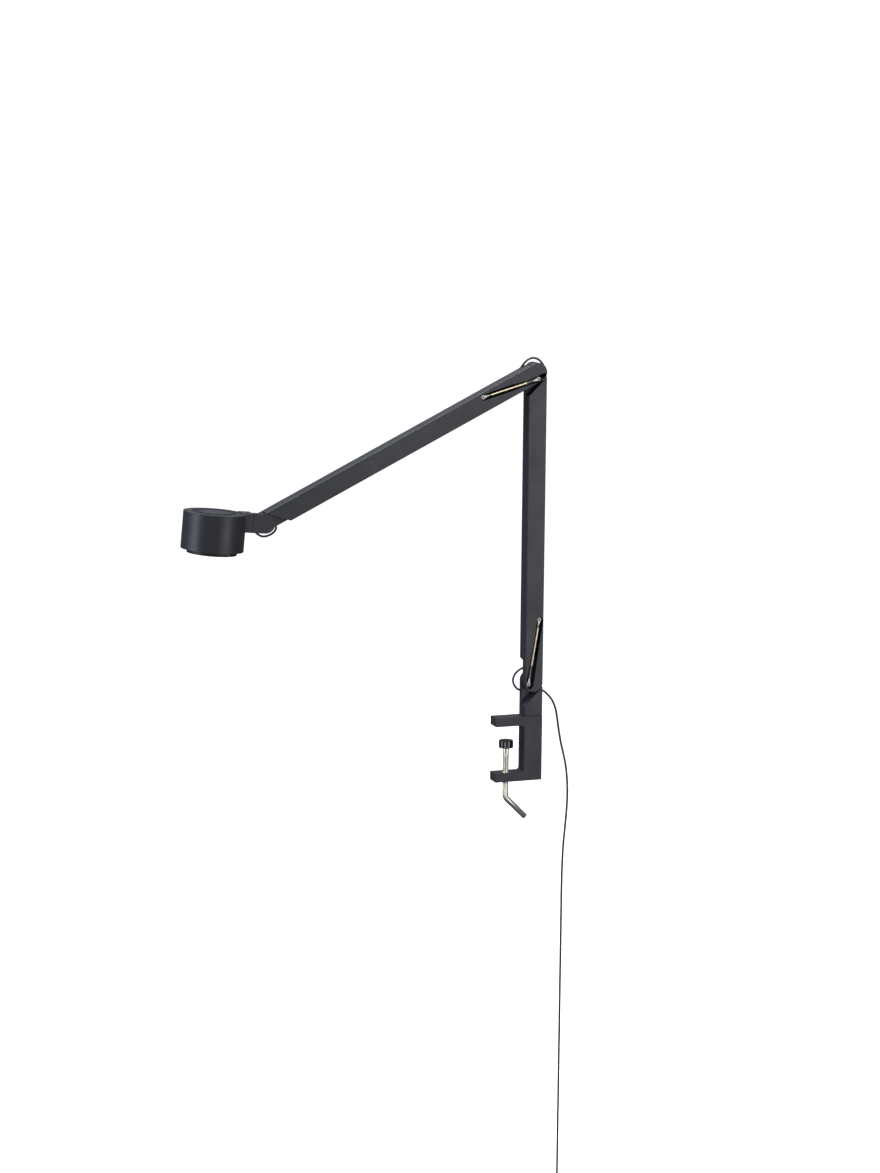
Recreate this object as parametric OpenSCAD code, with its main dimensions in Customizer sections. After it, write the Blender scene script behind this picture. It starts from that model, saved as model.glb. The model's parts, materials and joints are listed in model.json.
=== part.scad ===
// Clamp-mounted architect desk lamp.
// Two hollow arms joined by half-lap hinges, each balanced by a small gas spring
// in a slot of its front wall, on a swivel block over a C-clamp.
// Origin: the point on the desk top under the upper jaw, in line with the clamp screw.
// +Z is up, the arms move in the X-Z plane, and the head points to -X.

/* [Arms] */
// Distance between the hinge axes of each arm
arm_len = 430; // [360:5:480]
// Width of the arms in the plane they move in
arm_w = 26; // [22:0.5:28]
// Depth of the arms along the hinge axes
arm_d = 23; // [21:0.5:26]
// Thickness of the moulded walls
wall = 2.2; // [1.8:0.1:2.6]
// Radius along the arms' long edges
edge_r = 1; // [0.4:0.1:2]
// Slope of the upper arm below horizontal; the lower arm stands upright
upper_slope = 26.6; // [24:0.1:29]

/* [Half-lap hinges] */
// Back face of the front half, the tongue
tongue_back = -0.5; // [-1:0.1:-0.3]
// Front face of the rear half, the ear
ear_front = 1.5; // [1.2:0.1:2]
// How far along the arm the two 45 degree cuts cross its centre line
lap_offset = 19.5; // [18.5:0.1:22]

/* [Clamp] */
// Gap between the jaws
mouth_h = 66.6; // [55:0.2:80]
// Thickness of both jaws
jaw_t = 12; // [9:0.1:14]
// From the screw to the tip of the jaws
jaw_tip = 19; // [15:0.5:24]
// From the screw to the swivel axis in the spine
spine_x = 36; // [34:0.5:40]
// Diameter of the clamp screw
screw_d = 8; // [8:0.5:9]
// Diameter of the pressure pad
pad_d = 20; // [16:0.5:24]
// Height of the pad's face below the upper jaw
pad_gap = 21.6; // [18:0.1:26]

/* [Head] */
// Diameter of the lamp head
head_d = 84; // [76:1:90]
// Height of the lamp head
head_h = 50; // [44:0.2:56]
// Tilt of the head at rest, its top towards the arm
head_tilt = 5; // [0:0.5:10]
// From the tilt hinge to the axis of the head
head_reach = 68; // [66:0.2:76]
// Diameter of the dimmer ring
ring_d = 67; // [62:0.5:70]
// Number of vent slots around the head's top
vent_count = 40; // [24:2:44]

/* [Cords] */
// Diameter of the cord
cord_d = 3; // [2.6:0.1:3.2]
// Mean radius of the wound coil
coil_r = 16.5; // [15:0.5:18]

/* [Hidden] */
$fn = 64;

// Frame heights and hinge places
spine_top = 12.4;
block_bottom = 13.1;
base_z = 60;
base_at = [spine_x, 0, base_z];
elbow_at = base_at + [0, 0, arm_len];
head_at = elbow_at + arm_len * [-cos(upper_slope), 0, -sin(upper_slope)];
jaw_bottom = -mouth_h - jaw_t;
desk_side = spine_x - arm_w / 2;
outer_side = spine_x + arm_w / 2;
front_y = -arm_d / 2;
back_y = arm_d / 2;
inner_w = arm_w - 2 * wall;

// Hinge hardware
bolt_r = 3;
running = 0.05;
insert_r = 4.2;
bush_r = 4.2;
washer_r = 5.6;
bolt_head_r = 5.2;
counterbore_r = 5.6;
counterbore_y = 8.2;
web_y = -4.3;
insert_y = -3.3;

// Gas springs, as [x, z] in their arm's own frame: the anchor pin, then the rod pin at rest
lower_anchor = [7.9, 87.7];
lower_rod_at = [-7, -2.8];
upper_anchor = [6.4, 84.3];
upper_rod_at = [-8.9, 2.6];
spring_y = -7;
tube_r = 2.1;
tube_bore_r = 1.6;
tube_len = 53;
rod_r = 0.9;
pin_r = 1.25;
eyelet_r = 2.6;
eyelet_t = 3;
eyelet_len = 12;
rod_end_len = 12.5;
rod_inside = 24;
slot_r = 4.4;
pin_slot_r = 1.9;
end_slot_r = 3;
// Where each rod pin goes in its arm's own frame, between the hinge's two limits
lower_rod_path = [[-8.4, 2.0], [-5.8, -6.4]];
upper_rod_path = [[-9.3, 5.5], [-7.1, -6.1]];
// Where the wide part of each slot ends, beside the rod pin
lower_slot_end = [-5, -3.4];
upper_slot_end = [-7.6, 3.4];

// Clamp, its screw and the swivel pin in its spine
fillet_r = 4;
insert_hole_r = 5.5;
flange_r = 6.6;
flange_t = 1.4;
pad_t = 10.4;
pad_edge = 0.9;
bend_r = 10;
bend_z = -99.2;
leg_len = 37.5;
pin_hole_r = 5;
pin_sunk = 25;
swivel_top = 33.5;
grub_z = 22.2;

// Cord passages
cord_r = cord_d / 2;
cord_y = 7;
duct = 4.6;
passage_r = 2.2;
passage_z = -13.5;

// Head
groove = 0.5;
tongue_len = 18;
collar_len = 6.9;
head_top = 11.2;
head_bottom = head_top - head_h;
ring_drop = 5.2;
ring_h = 9;
vent_in = 21;
vent_out = 31;
boss_gap = 0.3;
boss_x = -tongue_len - collar_len - boss_gap;
nut_x = boss_x - 3.8;
sink_z = head_top - 14;

// Free cord: from the mouth of the gland, down past the clamp, to the top of the coil
gland_at = [spine_x + arm_w / 2, base_z + passage_z];
cord_route = [
  [0, 0], [4, -0.8], [8, -2.9], [12, -6], [16, -10], [20, -15], [23.5, -21], [27, -30.5],
  [29.5, -43.5], [31.5, -56.5], [35.5, -78.5], [40.5, -98.5], [44.5, -119.5], [46.5, -146.5],
  [46, -172.5], [43.5, -204.5], [41.5, -228.5], [40.5, -252.5], [40, -286.5], [40, -346.5],
  [40, -426.5], [40, -506.5], [40, -586.5], [40, -666.5], [40, -720.5]
];
coil_half = 2 * cord_d + 0.2;
tie_t = 0.8;
tie_h = 3;
coil_at = [gland_at[0] + 40, cord_y, gland_at[1] - 720.5 - coil_r - coil_half];
connector_z = coil_at[2] - coil_r - 8;
// Cord loops that bridge the hinges, each seen from its hinge and in the plane of cord_y
base_loop = [
  [-13, -13.5], [-15.5, -12.7], [-18.8, -10.4], [-21.6, -7], [-23.6, -2.6], [-24.2, 1.6], [-23.4, 5.8],
  [-21.2, 9.8], [-18.2, 13], [-14, 15.9], [-9.4, 18.2], [-6, 19.9], [-2.8, 22.3]
];
elbow_loop = [
  [13, -13.5], [15, -12.6], [16.6, -9.6], [17, -5], [16.5, 1], [14.6, 7.2], [10.8, 12.6], [6, 16.6],
  [-1, 18.5], [-7.4, 16.8], [-12.2, 13.2], [-15.6, 9.3], [-19.7, 3.6]
];
head_loop = [
  [17.8, -5.6], [19.3, -8.4], [17.3, -12.9], [12.9, -16.5], [7.7, -18.7], [2.1, -19.5], [-2.9, -18.3],
  [-7.5, -15.1], [-10.9, -10.9], [-13.9, -6.5], [-18.3, -2.4]
];

// ---- helpers ------------------------------------------------------------------------

// Extrudes an X-Z outline between two planes of Y
module slab(y0, y1) {
  translate([0, y1, 0]) rotate([90, 0, 0]) linear_extrude(y1 - y0) children();
}

// A round bar along Y
module ybar(r, y0, y1) {
  translate([0, y0, 0]) rotate([-90, 0, 0]) cylinder(r = r, h = y1 - y0);
}

// A round bar along X
module xbar(r, x0, x1) {
  translate([x0, 0, 0]) rotate([0, 90, 0]) cylinder(r = r, h = x1 - x0);
}

module rounded_rect(w, d, r) {
  square([w - 2 * r, d], center = true);
  square([w, d - 2 * r], center = true);
  for (sx = [-1, 1], sy = [-1, 1])
    translate([sx * (w / 2 - r), sy * (d / 2 - r)]) circle(r = r);
}

// A slot outline with a round end at each point and straight runs between them. The runs are
// a hair narrower than the ends, so that they cross the circles instead of touching them
module slot_outline(points, r) {
  half = r - 0.03;
  for (p = points) translate(p) circle(r = r);
  for (i = [0 : len(points) - 2], j = [i + 1 : len(points) - 1])
    let (v = points[j] - points[i])
      translate(points[i]) rotate(atan2(v[1], v[0])) translate([0, -half]) square([norm(v), 2 * half]);
}

function unit(v) = v / norm(v);
// Direction of a route at point i
function heading(p, i) = unit(p[min(i + 1, len(p) - 1)] - p[max(i - 1, 0)]);
// A smooth curve through a route: n points on each stretch of a Catmull-Rom spline
function smooth_at(a, b, c, d, t) =
  0.5 * ((2 * b) + (c - a) * t + (2 * a - 5 * b + 4 * c - d) * t * t + (3 * b - a - 3 * c + d) * t * t * t);
function smooth(p, n) = [
  for (i = [0 : len(p) - 2], k = [0 : n - 1])
    smooth_at(p[max(i - 1, 0)], p[i], p[i + 1], p[min(i + 2, len(p) - 1)], k / n),
  p[len(p) - 1]
];

// A tube of 8 sides swept along points of the plane y = at_y, given as [x, z]
module flat_sweep(p, r, at_y) {
  sides = 8;
  n = len(p);
  rings = [
    for (i = [0 : n - 1], k = [0 : sides - 1])
      let (h = heading(p, i), a = 360 * (k + 0.5) / sides)
        [p[i][0] - h[1] * r * cos(a), at_y + r * sin(a), p[i][1] + h[0] * r * cos(a)]
  ];
  walls = [
    for (i = [0 : n - 2], k = [0 : sides - 1])
      let (a = i * sides + k, b = i * sides + (k + 1) % sides)
        each [[a, b, b + sides], [a, b + sides, a + sides]]
  ];
  caps = [[for (k = [sides - 1 : -1 : 0]) k], [for (k = [0 : sides - 1]) (n - 1) * sides + k]];
  polyhedron(points = rings, faces = concat(walls, caps));
}

// Places of the sub-assemblies
module at_lower_arm() { translate(base_at) children(); }
module at_upper_arm() { translate(elbow_at) rotate([0, -90 - upper_slope, 0]) children(); }
module at_head() { translate(head_at) rotate([0, head_tilt, 0]) children(); }

// ---- half-lap hinge -----------------------------------------------------------------

// What is cut from a bar's start so that it becomes the front half of a hinge
module tongue_cut() {
  difference() {
    translate([-arm_w, -arm_d, -arm_w]) cube([2 * arm_w, 2 * arm_d, arm_w]);
    ybar(arm_w / 2, -arm_d - 1, arm_d + 1);
  }
  slab(tongue_back, arm_d)
    polygon([[-40, lap_offset + 40], [40, lap_offset - 40], [-40, lap_offset - 40]]);
}

// What is cut from a bar's end so that it becomes the rear half of a hinge at the origin
module ear_cut() {
  difference() {
    translate([-arm_w, -arm_d, 0]) cube([2 * arm_w, 2 * arm_d, arm_w]);
    ybar(arm_w / 2, -arm_d - 1, arm_d + 1);
  }
  slab(-arm_d, ear_front)
    polygon([[-40, -lap_offset - 40], [40, -lap_offset + 40], [-40, -lap_offset + 40]]);
}

// Holes in an ear at the origin: the bush's seat and the bolt head's recess
module ear_holes() {
  ybar(bush_r, ear_front - 1, back_y);
  ybar(counterbore_r, counterbore_y, back_y + 1);
}

module pivot_insert() {
  color("goldenrod") difference() {
    ybar(insert_r, insert_y + 0.1, tongue_back);
    ybar(bolt_r - 0.5, insert_y, tongue_back + 1);
  }
}
module pivot_bolt() {
  color("silver") difference() {
    union() {
      ybar(bolt_r - 0.5, insert_y + 0.3, tongue_back);
      ybar(bolt_r, tongue_back, counterbore_y + 0.1);
      ybar(bolt_head_r, counterbore_y + 0.1, back_y - 0.3);
    }
    slab(back_y - 1.8, back_y) circle(r = 2.3, $fn = 6);
  }
}
module pivot_bush() {
  color("dimgray") difference() {
    ybar(bush_r, ear_front, counterbore_y);
    ybar(bolt_r + running, ear_front - 1, counterbore_y + 1);
  }
}
module friction_washer() {
  color("black") difference() {
    ybar(washer_r, tongue_back + 0.1, ear_front);
    ybar(bolt_r + 0.3, tongue_back - 1, ear_front + 1);
  }
}

// ---- arms ---------------------------------------------------------------------------

// Outline of an arm's hollow, which slopes with the rear cut at its start
module hollow_outline(inset) {
  half = inner_w / 2 - inset;
  near = lap_offset + wall * 1.4 + inset;
  far = arm_len - lap_offset - arm_w / 2 - 3 - inset;
  polygon([[-half, near + half], [half, near - half], [half, far], [-half, far]]);
}

// A bar with a tongue at the origin and an ear at arm_len. anchor and slot_end are the ends of the
// spring's slot, and rod_path is the run of the rod pin. far_flank is 1 where the cord leaves
// through the arm's +X side at its far end, -1 for -X
module arm_shell(anchor, slot_end, rod_path, far_flank) {
  far = arm_len - lap_offset - arm_w / 2 - 3;
  difference() {
    translate([0, 0, -arm_w / 2]) linear_extrude(arm_len + arm_w) rounded_rect(arm_w, arm_d, edge_r);
    tongue_cut();
    translate([0, 0, arm_len]) ear_cut();
    // Hollow, shallow behind the tongue and deep beyond it, open at the back for the cover
    difference() {
      slab(front_y + wall, back_y + 1) hollow_outline(0);
      translate([-arm_w, -arm_d, 0]) cube([2 * arm_w, arm_d + 2.2, lap_offset + arm_w / 2 + 3]);
      anchor_block(anchor);
    }
    // Slot for the gas spring, and the rod pin's slot through the tongue
    slab(front_y - 1, web_y) {
      slot_outline([anchor, slot_end], slot_r);
      slot_outline([anchor, rod_path[0], rod_path[1]], end_slot_r);
    }
    slab(web_y - 1, 3) slot_outline(rod_path, pin_slot_r);
    translate([anchor[0], 0, anchor[1]]) ybar(pin_r, web_y - 1, 1.5);
    // Tongue's insert, the ear's holes, and the cord's way out
    ybar(insert_r, insert_y, tongue_back + 1);
    translate([0, 0, arm_len]) {
      ear_holes();
      translate([0, cord_y, passage_z]) xbar(passage_r, min(0, far_flank * arm_w), max(0, far_flank * arm_w));
    }
    translate([-duct / 2, cord_y - duct / 2, far - 1])
      cube([duct, duct, arm_len + passage_z + 1 - far]);
  }
}
// Cross wall that holds the anchor pin, notched for the cord
module anchor_block(anchor) {
  translate([-arm_w / 2, web_y, anchor[1] - 4]) cube([arm_w, 2.5 - web_y, 8]);
}
module arm_cover() {
  difference() {
    slab(back_y - 2, back_y) hollow_outline(0.1);
    slab(back_y - 1, back_y + 1) for (z = [60, arm_len / 2, arm_len - 60]) translate([0, z]) circle(r = 2);
  }
}
module anchor_pin(anchor) {
  color([0.1, 0.1, 0.1]) translate([anchor[0], 0, anchor[1]]) {
    ybar(pin_r, spring_y - eyelet_t / 2 - 0.6, 1.4);
  }
}

module lower_arm_shell() {
  color([0.26, 0.27, 0.28]) at_lower_arm() difference() {
    arm_shell(lower_anchor, lower_slot_end, lower_rod_path, 1);
    // The cord comes in square to the sloping cut
    translate([-3, cord_y, lap_offset + 3]) rotate([0, 45, 0])
      translate([0, 0, -3]) cylinder(r = passage_r, h = 8);
  }
}
module upper_arm_shell() {
  color([0.26, 0.27, 0.28]) at_upper_arm() difference() {
    arm_shell(upper_anchor, upper_slot_end, upper_rod_path, -1);
    // The cord comes in through the top wall
    translate([arm_w / 2 - 1, cord_y, 16]) rotate([0, -37, 0])
      translate([0, 0, -6]) cylinder(r = passage_r, h = 11);
  }
}
module lower_arm_cover() { color([0.24, 0.25, 0.26]) at_lower_arm() arm_cover(); }
module upper_arm_cover() { color([0.24, 0.25, 0.26]) at_upper_arm() arm_cover(); }
module lower_anchor_pin() { at_lower_arm() anchor_pin(lower_anchor); }
module upper_anchor_pin() { at_upper_arm() anchor_pin(upper_anchor); }

module base_pivot_insert() { at_lower_arm() pivot_insert(); }
module base_pivot_bolt() { at_lower_arm() pivot_bolt(); }
module base_bush() { translate(base_at) pivot_bush(); }
module base_friction_washer() { translate(base_at) friction_washer(); }
module elbow_pivot_insert() { translate(elbow_at) pivot_insert(); }
module elbow_pivot_bolt() { translate(elbow_at) pivot_bolt(); }
module elbow_bush() { translate(elbow_at) pivot_bush(); }
module elbow_friction_washer() { translate(elbow_at) friction_washer(); }
module head_pivot_insert() { translate(head_at) pivot_insert(); }
module head_pivot_bolt() { translate(head_at) pivot_bolt(); }
module head_bush() { translate(head_at) pivot_bush(); }
module head_friction_washer() { translate(head_at) friction_washer(); }

// ---- gas springs --------------------------------------------------------------------

// Local frame of a spring: the anchor pin at the origin and the rod pin on +Z
module on_spring(anchor, rod_at) {
  v = rod_at - anchor;
  translate([anchor[0], spring_y, anchor[1]]) rotate([0, atan2(v[0], v[1]), 0]) children();
}
// Flat ring around a pin, on a cone that screws to the spring
module eyelet_fitting(length) {
  difference() {
    union() {
      ybar(eyelet_r, -eyelet_t / 2, eyelet_t / 2);
      intersection() {
        translate([0, 0, 1]) cylinder(r1 = eyelet_r - 0.2, r2 = 1.1, h = length - 1);
        translate([-5, -eyelet_t / 2, 0]) cube([10, eyelet_t, length]);
      }
    }
    ybar(pin_r + running, -5, 5);
  }
}
module spring_tube() {
  color([0.84, 0.74, 0.6]) difference() {
    translate([0, 0, eyelet_len]) cylinder(r = tube_r, h = tube_len);
    translate([0, 0, eyelet_len + 1.5]) cylinder(r = tube_bore_r, h = tube_len - 3);
    translate([0, 0, eyelet_len + tube_len - 2]) cylinder(r = rod_r + running, h = 3);
  }
}
module spring_eyelet() { color("silver") eyelet_fitting(eyelet_len); }
module spring_rod(length) {
  color("silver") {
    translate([0, 0, eyelet_len + tube_len - rod_inside])
      cylinder(r = rod_r, h = length - rod_end_len - eyelet_len - tube_len + rod_inside);
    translate([0, 0, eyelet_len + tube_len - rod_inside]) cylinder(r = tube_bore_r - running, h = 4);
  }
}
module spring_rod_end(length) {
  color("silver") translate([0, 0, length]) rotate([0, 180, 0]) eyelet_fitting(rod_end_len);
}
// The rod pin reaches back through the tongue and stops just short of the ear
module spring_pin(length) {
  color([0.1, 0.1, 0.1]) translate([0, 0, length])
    ybar(pin_r, -eyelet_t / 2 - 0.6, ear_front - 0.3 - spring_y);
}
lower_spring_len = norm(lower_rod_at - lower_anchor);
upper_spring_len = norm(upper_rod_at - upper_anchor);
module on_lower_spring() { at_lower_arm() on_spring(lower_anchor, lower_rod_at) children(); }
module on_upper_spring() { at_upper_arm() on_spring(upper_anchor, upper_rod_at) children(); }
module lower_spring_tube() { on_lower_spring() spring_tube(); }
module lower_spring_eyelet() { on_lower_spring() spring_eyelet(); }
module lower_spring_rod() { on_lower_spring() spring_rod(lower_spring_len); }
module lower_spring_rod_end() { on_lower_spring() spring_rod_end(lower_spring_len); }
module lower_spring_pin() { on_lower_spring() spring_pin(lower_spring_len); }
module upper_spring_tube() { on_upper_spring() spring_tube(); }
module upper_spring_eyelet() { on_upper_spring() spring_eyelet(); }
module upper_spring_rod() { on_upper_spring() spring_rod(upper_spring_len); }
module upper_spring_rod_end() { on_upper_spring() spring_rod_end(upper_spring_len); }
module upper_spring_pin() { on_upper_spring() spring_pin(upper_spring_len); }

// ---- clamp --------------------------------------------------------------------------

module clamp_frame() {
  color([0.25, 0.26, 0.27]) difference() {
    slab(front_y, back_y) difference() {
      union() {
        translate([-jaw_tip, jaw_bottom]) square([jaw_tip + outer_side, jaw_t - jaw_bottom]);
        translate([desk_side, 0]) square([arm_w, spine_top]);
      }
      // Mouth with rounded inner corners
      translate([-jaw_tip - 1, -mouth_h]) square([jaw_tip + 1 + desk_side - fillet_r, mouth_h]);
      translate([0, -mouth_h + fillet_r]) square([desk_side, mouth_h - 2 * fillet_r]);
      for (z = [-fillet_r, -mouth_h + fillet_r])
        translate([desk_side - fillet_r, z]) circle(r = fillet_r);
    }
    translate([0, 0, jaw_bottom - 1]) cylinder(r = insert_hole_r, h = jaw_t + 2);
    translate([0, 0, -mouth_h - flange_t]) cylinder(r = flange_r, h = flange_t + 1);
    translate([spine_x, 0, -pin_sunk]) cylinder(r = pin_hole_r, h = pin_sunk + spine_top + 1);
  }
}
module thread_insert() {
  color("silver") difference() {
    union() {
      translate([0, 0, jaw_bottom]) cylinder(r = insert_hole_r, h = jaw_t);
      translate([0, 0, -mouth_h - flange_t]) cylinder(r = flange_r, h = flange_t + 0.3);
    }
    translate([0, 0, jaw_bottom - 1]) cylinder(r = screw_d / 2 + running, h = jaw_t + 3);
  }
}
module swivel_pin() {
  color("silver") difference() {
    translate([spine_x, 0, -pin_sunk]) cylinder(r = pin_hole_r, h = swivel_top + pin_sunk);
    // Groove that the grub screw runs in
    translate([spine_x, 0, grub_z - 2.2]) rotate_extrude() translate([pin_hole_r - 1, 0]) square([3, 4.4]);
  }
}
module swivel_washer() {
  color("black") translate([spine_x, 0, spine_top]) difference() {
    cylinder(r = 9.5, h = block_bottom - spine_top - 0.1);
    translate([0, 0, -1]) cylinder(r = pin_hole_r + 0.2, h = 4);
  }
}

module pressure_pad() {
  socket_r = screw_d / 2 + running;
  color([0.06, 0.06, 0.07]) translate([0, 0, -pad_gap - pad_t]) rotate_extrude() {
    difference() {
      union() {
        translate([0, pad_edge]) square([pad_d / 2, pad_t - 2 * pad_edge]);
        square([pad_d / 2 - pad_edge, pad_t]);
        for (z = [pad_edge, pad_t - pad_edge]) translate([pad_d / 2 - pad_edge, z]) circle(r = pad_edge);
      }
      translate([-pad_d, -1]) square([pad_d + socket_r, pad_t - 2.6]);
      translate([-pad_d, -1]) square([pad_d, pad_t + 2]);
    }
  }
}
module clamp_screw() {
  top = -pad_gap - 3.7;
  color([0.75, 0.74, 0.72]) {
    translate([0, 0, bend_z]) cylinder(r = screw_d / 2, h = top - bend_z);
    translate([bend_r, 0, bend_z]) rotate([-90, 180, 0])
      rotate_extrude(angle = -45) translate([bend_r, 0]) circle(r = screw_d / 2 - 0.02);
    translate([bend_r * (1 - cos(45)), 0, bend_z - bend_r * sin(45)]) rotate([0, 135, 0])
      cylinder(r = screw_d / 2, h = leg_len);
  }
}

// ---- swivel block -------------------------------------------------------------------

module base_block() {
  drop = base_z - block_bottom;
  color([0.26, 0.27, 0.28]) translate(base_at) difference() {
    translate([0, 0, -drop]) linear_extrude(drop + 0.8 * arm_w) rounded_rect(arm_w, arm_d, edge_r);
    ear_cut();
    ear_holes();
    translate([0, 0, -drop - 1]) cylinder(r = pin_hole_r + running, h = swivel_top + 1 - block_bottom + 0.5);
    // Straight passage for the cord, opened up for the gland on the far side from the desk
    translate([0, cord_y, passage_z]) {
      xbar(passage_r, -arm_w, arm_w);
      xbar(3.2, 8, arm_w);
    }
    translate([0, 0, grub_z - base_z]) ybar(2.5, pin_hole_r - 0.5, back_y + 1);
  }
}
module block_grub_screw() {
  color("black") translate([spine_x, 0, grub_z]) difference() {
    union() {
      ybar(1.8, pin_hole_r - 0.7, pin_hole_r + 1);
      ybar(2.5, pin_hole_r + 0.5, back_y - 0.4);
    }
    slab(back_y - 2.4, back_y) circle(r = 1.4, $fn = 6);
  }
}
module cord_gland() {
  color([0.08, 0.08, 0.08]) translate([outer_side, cord_y, base_z + passage_z]) difference() {
    union() {
      xbar(3.2, -4, 0);
      xbar(3.6, 0, 1);
    }
    xbar(cord_r, -6, 12);
  }
}

// ---- cords --------------------------------------------------------------------------

module cord_color() { color([0.1, 0.1, 0.11]) children(); }
module power_cord() {
  cord_color() translate([gland_at[0], 0, gland_at[1]])
    flat_sweep(smooth(cord_route, 3), cord_r, cord_y);
}
module block_cord() {
  cord_color() translate([0, cord_y, base_z + passage_z]) xbar(cord_r - 0.02, desk_side, outer_side);
}
module base_cord_loop() { cord_color() translate(base_at) flat_sweep(smooth(base_loop, 2), cord_r, cord_y); }
module elbow_cord_loop() {
  cord_color() translate(elbow_at) flat_sweep(smooth(elbow_loop, 2), cord_r, cord_y);
}
module head_cord_loop() { cord_color() translate(head_at) flat_sweep(smooth(head_loop, 2), cord_r, cord_y); }

// Bend of radius 5 from the arm's centre line out through a flank
function exit_bend(flank) = [
  for (a = [0 : 15 : 90]) [flank * 5 * (1 - cos(a)), arm_len + passage_z - 5 + 5 * sin(a)]
];
module lower_arm_cord() {
  route = concat([[-2.5, 22.6], [0.4, 25.6], [2.6, 30], [2.6, 37], [0.8, 46], [0, 56]],
    [[0, 120], [0, 230], [0, 330], [0, arm_len - 40]], exit_bend(1), [[arm_w / 2, arm_len + passage_z]]);
  cord_color() at_lower_arm() flat_sweep(route, cord_r, cord_y);
}
module upper_arm_cord() {
  route = concat([[11.7, 16.4], [9.3, 19.6], [6.4, 24.2], [3.6, 31], [1.2, 42], [0, 56]],
    [[0, 120], [0, 230], [0, 330], [0, arm_len - 40]], exit_bend(-1), [[-arm_w / 2, arm_len + passage_z]]);
  cord_color() at_upper_arm() flat_sweep(route, cord_r, cord_y);
}

module cord_coil() {
  cord_color() translate(coil_at) rotate([90, 0, 0]) rotate_extrude()
    translate([coil_r - coil_half, -coil_half]) square([2 * coil_half, 2 * coil_half]);
}
module coil_tie() {
  inner = 2 * coil_half + 0.2;
  color([0.05, 0.05, 0.05]) translate(coil_at + [-coil_r, 0, 0]) linear_extrude(tie_h, center = true)
    difference() {
      square(inner + 2 * tie_t, center = true);
      square(inner, center = true);
    }
}
// Straight end of the cord, from the underside of the coil to the connector
module connector_lead() {
  coil_out = coil_r + coil_half;
  under_coil = coil_at[2] - sqrt(coil_out * coil_out - (coil_r + cord_r) * (coil_r + cord_r));
  cord_color() translate([coil_at[0] + coil_r, cord_y, connector_z])
    cylinder(r = cord_r, h = under_coil - connector_z);
}
module power_connector() {
  color([0.07, 0.07, 0.07]) translate([coil_at[0] + coil_r, cord_y, connector_z]) {
    translate([0, 0, -7]) cylinder(r1 = 3.6, r2 = 2.1, h = 7, $fn = 48);
    translate([0, 0, -24]) cylinder(r = 4.4, h = 17);
  }
  color("silver") translate([coil_at[0] + coil_r, cord_y, connector_z - 33]) cylinder(r = 2.75, h = 9);
}

// ---- head ---------------------------------------------------------------------------

// Bar of the arms' section along X, thinner all round by inset
module neck_block(x0, x1, inset = 0) {
  translate([x0, 0, 0]) rotate([0, 90, 0]) linear_extrude(x1 - x0)
    rounded_rect(arm_w - 2 * inset, arm_d - 2 * inset, edge_r);
}
module head_bracket() {
  color([0.26, 0.27, 0.28]) at_head() difference() {
    union() {
      slab(front_y, tongue_back) {
        circle(r = arm_w / 2);
        translate([-tongue_len - 1, -arm_w / 2]) square([tongue_len + 1, arm_w]);
      }
      neck_block(-tongue_len - collar_len, -tongue_len);
    }
    // Groove where the collar meets the flat of the tongue
    difference() {
      translate([-tongue_len - groove / 2, -arm_d, -arm_w]) cube([groove, 2 * arm_d, 2 * arm_w]);
      neck_block(-tongue_len - groove, -tongue_len + groove, groove);
    }
    ybar(insert_r, insert_y, tongue_back + 1);
    // Seat and bore for the neck tube, and the pocket where the cord turns into it
    xbar(5, -tongue_len - collar_len - 1, -tongue_len - collar_len + 2);
    xbar(2.6, -tongue_len - collar_len - 1, -tongue_len - 2);
    translate([-tongue_len - 4.6, -2.6, -6]) cube([3.4, cord_y + 4.8, 8.6]);
    translate([0, cord_y, -4]) xbar(passage_r, -tongue_len - 4, -tongue_len + 1);
  }
}
// Hollow stud that the head turns on, with its cord inside
module neck_tube() {
  color("silver") at_head() difference() {
    union() {
      xbar(5, -tongue_len - collar_len, -tongue_len - collar_len + 2);
      xbar(4.4, -tongue_len - collar_len - 8, -tongue_len - collar_len);
    }
    xbar(2.6, -tongue_len - collar_len - 9, -tongue_len - collar_len + 6);
  }
}
module neck_cord() {
  cord_color() at_head() xbar(cord_r, -tongue_len - collar_len - 9, -tongue_len - 2.4);
}

module head_housing() {
  at_head() color([0.26, 0.27, 0.28]) difference() {
    union() {
      translate([-head_reach, 0, head_bottom]) cylinder(r = head_d / 2, h = head_h, $fn = 96);
      neck_block(boss_x - 8, boss_x);
    }
    translate([-head_reach, 0, head_bottom - 1]) cylinder(r = head_d / 2 - wall, h = head_h - 1.6, $fn = 96);
    xbar(4.4 + running, boss_x - 10, boss_x + 1);
    // Recessed ring with vent slots around the plain centre
    translate([-head_reach, 0, head_top - 1]) difference() {
      cylinder(r = vent_out, h = 2);
      translate([0, 0, -1]) cylinder(r = vent_in, h = 4);
    }
    for (k = [0 : vent_count - 1])
      translate([-head_reach, 0, head_top - 4]) rotate([0, 0, 360 * k / vent_count])
        translate([vent_in + 0.8, -0.9, 0]) cube([7.4, 1.8, 6]);
  }
}
module neck_nut() {
  color("silver") at_head() difference() {
    xbar(7, nut_x - 3, nut_x);
    xbar(4.4, nut_x - 4, nut_x + 1);
  }
}
module heat_sink() {
  color("lightgray") at_head() translate([-head_reach, 0, 0]) difference() {
    union() {
      translate([0, 0, sink_z - 10]) cylinder(r = head_d / 2 - wall, h = 4);
      for (k = [0 : 19]) rotate([0, 0, 18 * k]) translate([12, -0.6, sink_z - 6.5]) cube([15.5, 1.2, 9]);
    }
    translate([18, -4, sink_z - 12]) cube([12, 8, 18]);
  }
}
module led_board() {
  color("white") at_head() translate([-head_reach, 0, sink_z - 11.6]) {
    cylinder(r = 30, h = 1.6);
    for (k = [0 : 11]) rotate([0, 0, 30 * k]) translate([10.5, -1.5, -0.7]) cube([3, 3, 0.8]);
  }
}
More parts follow.
